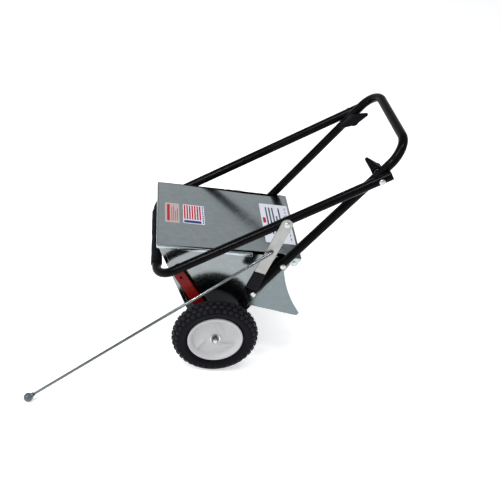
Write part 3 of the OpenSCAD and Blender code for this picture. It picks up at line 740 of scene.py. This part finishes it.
def hub_piece(side, node):
    """Moulded hub: a lipped rim, a shallow dish with three curved ribs, and a boss."""
    low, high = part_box(node)
    rim_y = high.y if side > 0 else -low.y
    inner = low.y if side > 0 else -high.y
    rim_r, lip_r, lip_foot_r = 80.6 * MM, 78.2 * MM, 75.4 * MM
    lip_drop = 0.7 * MM
    dish_y = WHEEL_Y + 8.6 * MM
    boss_r = 18 * MM
    boss_drop = 1.2 * MM
    bore_r = 8.02 * MM
    rib_count, rib_h, rib_w = 3, 5.6 * MM, 30 * MM
    around = 180

    def front(r, angle):
        """Height of the outer face at a radius and an angle."""
        if r > lip_r:
            return rim_y - 1.4 * MM * ((r - lip_r) / (rim_r - lip_r)) ** 2
        if r > lip_foot_r:
            return rim_y - lip_drop * ((lip_r - r) / (lip_r - lip_foot_r)) ** 2
        slope = smooth_step((lip_foot_r - r) / (15 * MM))
        y = rim_y - lip_drop + (dish_y - rim_y + lip_drop) * slope
        cone = smooth_step((42 * MM - r) / (24 * MM))
        y += (HUB_END - dish_y - boss_drop) * cone
        swirl = angle - 0.55 * (r - 20 * MM) / (55 * MM)
        fade = smooth_step((r - 24 * MM) / (14 * MM)) * smooth_step((72 * MM - r) / (16 * MM))
        for k in range(rib_count):
            crest = math.radians(80 + 360 / rib_count * k)
            arc = ((swirl - crest + math.pi) % (2 * math.pi) - math.pi) * r
            y += rib_h * fade * smooth_step((arc + rib_w) / rib_w) * (1 - smooth_step(arc / (3.0 * MM)))
        if r < boss_r + 1.5 * MM:
            y = HUB_END - boss_drop * smooth_step((r - boss_r + 1.5 * MM) / (3 * MM))
        return y

    radii = [bore_r, 9 * MM, 12 * MM, 15.5 * MM, 16.8 * MM, 18 * MM, 19.5 * MM]
    radii += [(21 + 2.2 * k) * MM for k in range(25)]
    radii += [lip_foot_r, 76.4 * MM, 77.4 * MM, lip_r, 79.2 * MM, 80.0 * MM, rim_r]
    angles = [2 * math.pi * i / around for i in range(around)]
    bm = bmesh.new()
    rows = [[bm.verts.new((AXLE.x + r * math.cos(a), side * front(r, a), AXLE.z + r * math.sin(a)))
             for a in angles] for r in radii]
    web_back = WHEEL_Y + 6 * MM
    groove_r = 76.8 * MM
    back = [(rim_r, WHEEL_Y + 4.4 * MM), (groove_r, WHEEL_Y + 1.5 * MM), (groove_r, WHEEL_Y - 1.5 * MM),
            (rim_r, WHEEL_Y - 4.4 * MM), (rim_r, WHEEL_Y - 19 * MM), (79.8 * MM, WHEEL_Y - 20 * MM),
            (74.6 * MM, WHEEL_Y - 20 * MM), (73.2 * MM, WHEEL_Y - 19 * MM), (71 * MM, web_back - 1 * MM),
            (69 * MM, web_back), (24 * MM, web_back), (19.2 * MM, web_back - 2 * MM),
            (boss_r, web_back - 6 * MM), (boss_r, inner + 1 * MM), (boss_r - 1 * MM, inner),
            (bore_r + 0.8 * MM, inner), (bore_r, inner + 0.8 * MM)]
    rows += [[bm.verts.new((AXLE.x + r * math.cos(a), side * y, AXLE.z + r * math.sin(a)))
              for a in angles] for r, y in back]
    rows.append(rows[0])
    grid_faces(bm, rows)
    adopt(to_object(node + "_piece", bm, ["hub"], smooth_angle=35), node)


def axle_ends():
    """Axle with threaded studs, and hexagon nuts at both ends."""
    axle_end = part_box("axle")[1].y
    nut_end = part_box("axle_nuts")[1].y
    nut_h = 9 * MM
    axle_r, tip_r, chamfer = 7.98 * MM, 7.4 * MM, 0.6 * MM
    lap = 0.4 * MM
    bm = bmesh.new()
    lathe(bm, Vector((AXLE.x, -HUB_END, AXLE.z)), ALONG_Y,
          [(0, tip_r), (chamfer, axle_r), (2 * HUB_END - chamfer, axle_r), (2 * HUB_END, tip_r)])
    for side in (-1, 1):
        threaded(bm, Vector((AXLE.x, side * (HUB_END - lap), AXLE.z)), side * ALONG_Y,
                 axle_end - HUB_END + lap, 5.95 * MM, 1.75 * MM, 32)
    adopt(to_object("axle_piece", bm, ["zinc"]), "axle")
    bm = bmesh.new()
    for side in (-1, 1):
        hex_nut(bm, Vector((AXLE.x, side * (nut_end - nut_h), AXLE.z)), side * ALONG_Y,
                19 * MM, nut_h, 5.98 * MM)
    # The nuts take the rod's zinc, which is darkened as painted reflection.
    adopt(to_object("axle_nuts_piece", bm, ["rod"], 30), "axle_nuts")


# ---------------------------------------------------------------- handles and hardware

def bolt_set(node, places, head_y, end_y, sides=(-1, 1)):
    """Carriage bolts along Y: domed head, plain shank and threaded end."""
    thread, lap = 12 * MM, 0.2 * MM
    bm = bmesh.new()
    for x, z in places:
        for side in sides:
            out = side * ALONG_Y
            shank_r = BOLT_R * 0.99
            dome_head(bm, Vector((x, side * head_y, z)), out, BOLT_HEAD_R, BOLT_HEAD_H - 0.1 * MM)
            lathe(bm, Vector((x, side * (end_y + thread), z)), out,
                  [(0, shank_r), (head_y - end_y - thread, shank_r)], 32)
            threaded(bm, Vector((x, side * (end_y + thread + lap), z)), -out, thread + lap,
                     BOLT_R * 0.985, 1.25 * MM)
    adopt(to_object(node + "_piece", bm, ["zinc"], 34), node)


def nut_set(node, places, start_y, height, sides=(-1, 1)):
    """Hexagon nuts along Y for the bolts of bolt_set."""
    bm = bmesh.new()
    for x, z in places:
        for side in sides:
            hex_nut(bm, Vector((x, side * start_y, z)), side * ALONG_Y, BOLT_NUT_FLATS, height, BOLT_R)
    adopt(to_object(node + "_piece", bm, ["zinc"], 30), node)


def handle_hardware():
    """The handles' carriage bolts and nuts, placed by their CAD boxes."""
    nut_h = 6.5 * MM
    past_plate = 9 * MM
    fold_end_y = 137.8 * MM
    near = (-1,)
    low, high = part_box("lower_handle_bolts")
    ends = [(low.x + BOLT_HEAD_R, low.z + BOLT_HEAD_R), (high.x - BOLT_HEAD_R, high.z - BOLT_HEAD_R)]
    plate_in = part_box("left_side_plate")[1].y
    bolt_set("lower_handle_bolts", ends, -(low.y + BOLT_HEAD_H), -plate_in - past_plate)
    nut_set("lower_handle_nuts", ends, -plate_in - nut_h, nut_h)
    low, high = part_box("fold_bolts")
    bolt_set("fold_bolts", [(FOLD.x, FOLD.z)], high.y - BOLT_HEAD_H, fold_end_y)
    low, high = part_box("lever_bolt")
    bolt_set("lever_bolt", [(LEVER.x, LEVER.z)], -low.y - BOLT_HEAD_H, -high.y, near)
    low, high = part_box("lever_nut")
    nut_set("lever_nut", [(LEVER.x, LEVER.z)], -high.y, high.y - low.y, near)


def rounded_hardware():
    """CAD parts that only need their edges rounded."""
    for node in ("lid_hinge_pins", "fold_washers", "lever_washer", "lever_retainer", "axle_spacers",
                 "axle_washers", "drive_pin", "shutoff_pin", "agitator", "rod_clip", "bearing_bolts"):
        rounded_copy(node, 0.25 * MM, ("zinc",))
    rounded_copy("axle_bearings", 0.6 * MM, ("nylon",))
    rounded_copy("shutoff_lever", 0.7 * MM, ("red",), segments=3)
    rounded_copy("control_lever", 0.7 * MM, ("bar",), segments=3)
    for node in ("lower_handle_plugs", "upper_handle_plugs"):
        rounded_copy(node, 0.5 * MM, ("plug",))
    for node in ("left_knob_insert", "right_knob_insert"):
        rounded_copy(node, 0.3 * MM, ("brass",))


def wing_knob_piece(node):
    """Moulded wing knob: the CAD solid melted into soft fillets."""
    ob = to_object(node + "_piece", cad_copy(node), ["plug"])
    remesh = ob.modifiers.new("moulded", "REMESH")
    remesh.mode = "VOXEL"
    remesh.voxel_size = 0.9 * MM
    remesh.use_smooth_shade = True
    soft = ob.modifiers.new("soft", "SMOOTH")
    soft.factor = 0.5
    soft.iterations = 6
    adopt(ob, node)


# ---------------------------------------------------------------- controls

def lever_frame():
    """The control lever's directions, down along its bar and across it, and its middle in Y."""
    low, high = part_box("control_lever")
    down = (Vector((ROD_HINGE.x, 0, ROD_HINGE.z)) - Vector((LEVER.x, 0, LEVER.z))).normalized()
    across = Vector((down.z, 0, -down.x))
    return down, across, (low.y + high.y) / 2


def grip_piece():
    """Dipped vinyl grip: a soft sleeve with a rolled mouth and a rounded end."""
    down, across, y_mid = lever_frame()
    start, length = 171.5 * MM, 60.1 * MM
    half_w, half_t = 17.9 * MM, 3.7 * MM
    bm = bmesh.new()
    count = 44
    rows = []
    mouth = ((0.0, 0.90), (0.4, 1.0), (2.2, 1.02), (3.6, 0.985), (8.0, 0.97), (30.0, 0.975), (48.0, 0.985))
    stations = [(d * MM, k) for d, k in mouth]
    for k in range(1, 8):
        t = k / 7 * math.pi / 2
        stations.append((length - 7.5 * MM * (1 - math.sin(t)), 0.985 * (1 - 0.24 * (1 - math.cos(t)))))
    base = Vector((LEVER.x, y_mid, LEVER.z)) + down * start
    for along, k in stations:
        row = []
        for i in range(count):
            a = 2 * math.pi * i / count
            u = math.copysign(abs(math.cos(a)) ** 0.32, math.cos(a)) * half_w * k
            v = math.copysign(abs(math.sin(a)) ** 0.62, math.sin(a)) * half_t * k
            row.append(bm.verts.new(base + down * along + across * u + Vector((0, v, 0))))
        rows.append(row)
    grid_faces(bm, rows)
    cap_ends(bm, rows)
    adopt(to_object("lever_grip_piece", bm, ["vinyl"], 60), "lever_grip")


def rod_piece():
    """Control rod: bent at the lever's hole, then straight down to its ball."""
    radius, bend_r = 4 * MM, 6.5 * MM
    beside_lever, in_ball = 4.6 * MM, 6 * MM
    corner = Vector((ROD_HINGE.x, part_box("control_lever")[0].y - beside_lever, ROD_HINGE.z))
    inner_end = Vector((ROD_HINGE.x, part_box("control_rod")[1].y, ROD_HINGE.z))
    ball_r = 12.7 * MM
    ball_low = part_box("rod_ball")[0]
    ball = Vector((ball_low.x + ball_r, ball_low.y + ball_r, GROUND + ball_r))
    toward = (corner - ball).normalized()
    far_end = ball + toward * in_ball
    path = [inner_end] + rounded_corner(inner_end, corner, far_end, bend_r) + [far_end]
    bm = bmesh.new()
    sweep(bm, path, radius, 24)
    adopt(to_object("control_rod_piece", bm, ["rod"], 50), "control_rod")
    bm = bmesh.new()
    profile = []
    steps = 46
    for k in range(1, 40):
        t = -math.pi / 2 + k / steps * math.pi
        seam = 0.22 * MM * math.exp(-(t / 0.05) ** 2)
        profile.append((ball_r * math.sin(t), ball_r * math.cos(t) * 0.996 + seam))
    neck = 6.3 * MM
    profile += [(ball_r * 0.90, neck), (ball_r + 3.6 * MM, neck * 0.985),
                (ball_r + 4.8 * MM, neck * 0.86), (ball_r + 5.0 * MM, neck * 0.7)]
    lathe(bm, ball, toward, profile, 56)
    adopt(to_object("rod_ball_piece", bm, ["ball"], 40), "rod_ball")


def handle_grip_piece():
    """Foam sleeve on the upper handle's cross piece: slightly lumpy, with rolled ends."""
    low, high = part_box("handle_grip")
    centre = (low + high) / 2
    length = high.y - low.y
    outer = (high.x - low.x) / 2
    count, steps = 44, 60
    bm = bmesh.new()
    rows = []
    for k in range(steps + 1):
        along = length * k / steps
        edge = min(along, length - along)
        roll = 1 - smooth_step(edge / (5 * MM))
        lump = 0.35 * math.sin(along * 95) + 0.3 * math.sin(along * 41 + 1.3)
        waist = 1.1 * math.exp(-((along - length / 2) / (16 * MM)) ** 2)
        radius = outer - (0.7 - lump * 0.6 + waist) * MM - 2.2 * MM * roll
        place = Vector((centre.x, low.y + along, centre.z))
        rows.append(ring(bm, place, ALONG_X, ALONG_Z, radius, count))
    for y in (high.y, low.y):
        rows.append(ring(bm, Vector((centre.x, y, centre.z)), ALONG_X, ALONG_Z, TUBE_R, count))
    rows.append(rows[0])
    grid_faces(bm, rows)
    adopt(to_object("handle_grip_piece", bm, ["foam"], 50), "handle_grip")


def kept_nodes():
    """The handle tubes' CAD shape is already right, so they only get their material."""
    for node in ("lower_handle", "upper_handle"):
        for slot in frame["nodes"][node].material_slots:
            slot.material = MATERIALS["black"]


# ---------------------------------------------------------------- studio

def floor():
    """A pale, flat, round floor, wide enough to reach the horizon from every side."""
    bm = bmesh.new()
    level = Vector((0, 0, GROUND - 0.4 * MM))
    rows = [ring(bm, level, ALONG_X, ALONG_Y, radius, 64) for radius in (80.0, 20.0, 5.0, 1.0)]
    grid_faces(bm, rows)
    bm.faces.new(rows[-1])
    g = Graph("studio_floor", {"Roughness": 0.8, "Specular IOR Level": 0.1,
                               "Emission Color": (1, 1, 1, 1), "Emission Strength": 0.38})
    tone = g.span(g.noise(3.0, detail=4.0), 0.3, 0.7, 0.0, 1.0)
    g.feed("Base Color", g.mix(tone, (0.95, 0.952, 0.955), (0.94, 0.942, 0.945)))
    MATERIALS["floor"] = g.material
    ob = to_object("studio_floor", bm, ["floor"])


def world():
    """Soft studio surround, brightest at the horizon and greyer above."""
    w = bpy.data.worlds.new("studio")
    bpy.context.scene.world = w
    w.use_nodes = True
    tree = w.node_tree
    tree.nodes.clear()
    place = tree.nodes.new("ShaderNodeTexCoord")
    split = tree.nodes.new("ShaderNodeSeparateXYZ")
    ramp = tree.nodes.new("ShaderNodeValToRGB")
    back = tree.nodes.new("ShaderNodeBackground")
    out = tree.nodes.new("ShaderNodeOutputWorld")
    stops = ramp.color_ramp.elements
    stops[0].position, stops[0].color = 0.0, (1.75, 1.76, 1.78, 1)
    stops[1].position, stops[1].color = 1.0, (0.95, 0.96, 0.98, 1)
    for position, value in ((0.12, 1.70), (0.24, 1.05), (0.55, 0.97), (0.80, 0.78)):
        stop = stops.new(position)
        stop.color = (value, value * 1.01, value * 1.02, 1)
    tree.links.new(place.outputs["Generated"], split.inputs[0])
    tree.links.new(split.outputs[2], ramp.inputs[0])
    tree.links.new(ramp.outputs[0], back.inputs[0])
    back.inputs[1].default_value = 0.60
    tree.links.new(back.outputs[0], out.inputs[0])


def area_light(name, place, aim, size, power):
    """A rectangular light of the given size, turned to its aim."""
    data = bpy.data.lights.new(name, "AREA")
    data.shape = "RECTANGLE"
    data.size, data.size_y = size
    data.energy = power
    ob = bpy.data.objects.new(name, data)
    bpy.context.scene.collection.objects.link(ob)
    ob.location = place
    ob.rotation_euler = (Vector(aim) - Vector(place)).to_track_quat("-Z", "Y").to_euler()


def camera():
    """Camera at the photograph's angle and roll."""
    aim = Vector((0.1007, 0.0147, 0.1822))
    azimuth, elevation, roll = math.radians(13.294), math.radians(35.070), math.radians(-13.19)
    distance = 2.2
    forward = Vector((math.sin(azimuth) * math.cos(elevation), math.cos(azimuth) * math.cos(elevation),
                      -math.sin(elevation)))
    right = forward.cross(ALONG_Z).normalized()
    up = right.cross(forward)
    spin = Matrix.Rotation(roll, 3, forward)
    right, up = spin @ right, spin @ up
    turn = Matrix((right, up, -forward)).transposed().to_4x4()
    data = bpy.data.cameras.new("camera")
    data.lens = 51.04
    data.sensor_width = 36.0
    ob = bpy.data.objects.new("camera", data)
    bpy.context.scene.collection.objects.link(ob)
    ob.matrix_world = Matrix.Translation(aim - forward * distance) @ turn
    bpy.context.scene.camera = ob


camera()
world()
floor()
area_light("key", (-1.7, -1.2, 3.6), (0.1, 0, 0.2), (0.7, 0.7), 50)
area_light("glint", (-2.4, -1.65, 2.3), (0.1, 0, 0.3), (1.5, 0.12), 60)
area_light("fill", (3.0, -2.4, 1.8), (0.1, 0, 0.3), (1.2, 2.0), 7)
area_light("strip", (0.1, -0.5, 3.2), (0.1, 0, 0.2), (2.4, 0.10), 36)
bpy.context.scene.view_settings.view_transform = "Standard"

hopper_sheets()
lid_piece()
labels()
tyre_piece(-1, "left_tyre")
tyre_piece(1, "right_tyre")
hub_piece(-1, "left_hub")
hub_piece(1, "right_hub")
axle_ends()
handle_hardware()
rounded_hardware()
wing_knob_piece("left_wing_knob")
wing_knob_piece("right_wing_knob")
grip_piece()
rod_piece()
handle_grip_piece()
kept_nodes()
